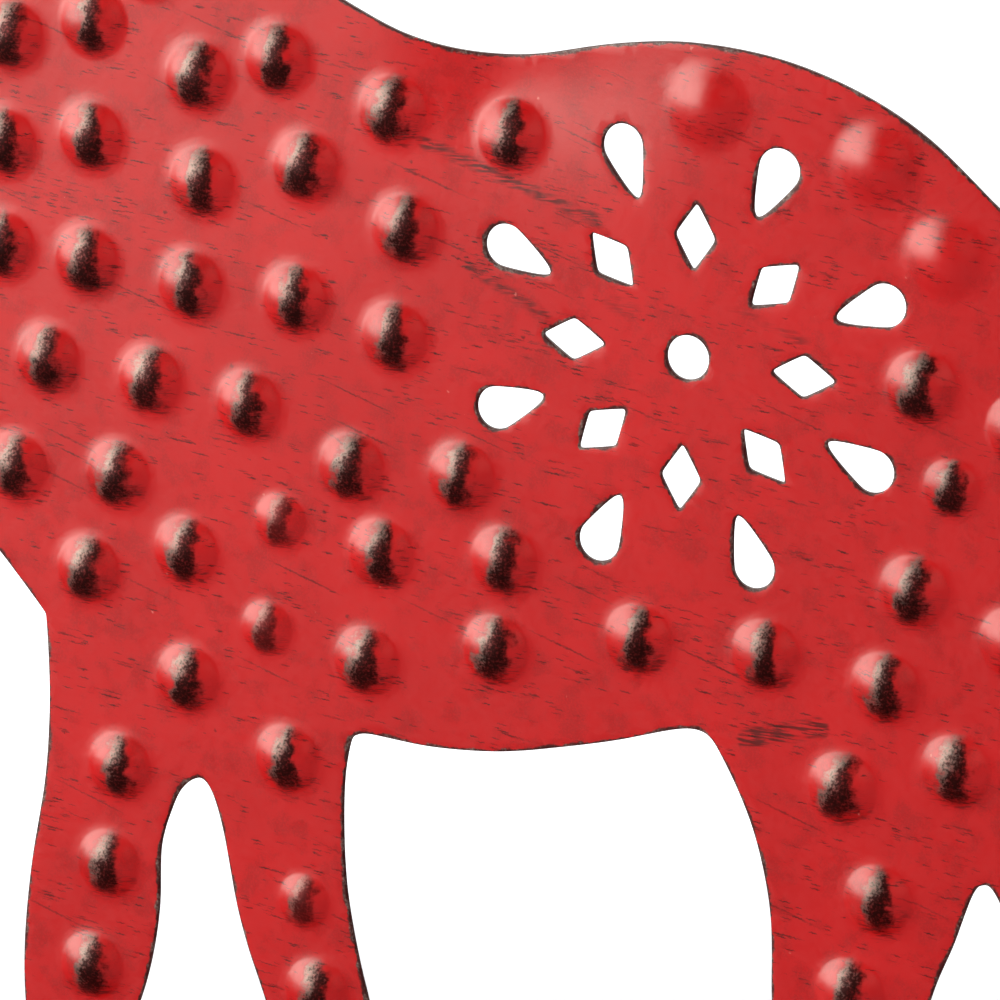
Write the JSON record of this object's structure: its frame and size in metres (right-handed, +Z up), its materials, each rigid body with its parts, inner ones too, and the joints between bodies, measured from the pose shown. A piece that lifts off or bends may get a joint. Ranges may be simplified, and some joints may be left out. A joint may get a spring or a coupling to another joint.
{
  "type": "standing metal moose ornament",
  "caption": "Standing moose cut and pressed from sheet metal, with a pierced rosette, pressed domes, riveted antlers and ears, and a felted base.",
  "frame": {"origin": "middle of the felt's underside, where the ornament stands", "axes": "+Z up; -X towards the moose's muzzle, along the sheet figure; -Y towards the side the domes are raised on"},
  "size_m": [0.2791, 0.0872, 0.2868],
  "materials": {
    "worn_red_sheet": "satin red paint, rubbed to dark metal on domes and edges",
    "worn_red_antlers": "satin red paint, rubbed to dark metal on domes and edges",
    "worn_red_ears": "satin red paint, rubbed on the edges",
    "base_red": "satin red paint, worn on the edges",
    "rivet_iron": "dark iron",
    "zinc_fastener": "zinc plated",
    "felt": "black felt"
  },
  "bodies": {
    "root": {"body_sheet": "worn_red_sheet", "near_antler": "worn_red_antlers", "far_antler": "worn_red_antlers", "near_ear": "worn_red_ears", "far_ear": "worn_red_ears", "antler_rivet_front": "rivet_iron", "antler_rivet_rear": "rivet_iron", "ear_rivet": "rivet_iron", "base_plate": "base_red", "base_felt": "felt", "base_screw_leading_fore": "zinc_fastener", "base_screw_trailing_fore": "zinc_fastener", "base_screw_leading_hind": "zinc_fastener", "base_screw_trailing_hind": "zinc_fastener", "base_washer_leading_fore": "zinc_fastener", "base_washer_trailing_fore": "zinc_fastener", "base_washer_leading_hind": "zinc_fastener", "base_washer_trailing_hind": "zinc_fastener", "base_nut_leading_fore": "zinc_fastener", "base_nut_trailing_fore": "zinc_fastener", "base_nut_leading_hind": "zinc_fastener", "base_nut_trailing_hind": "zinc_fastener"}
  },
  "joints": []
}
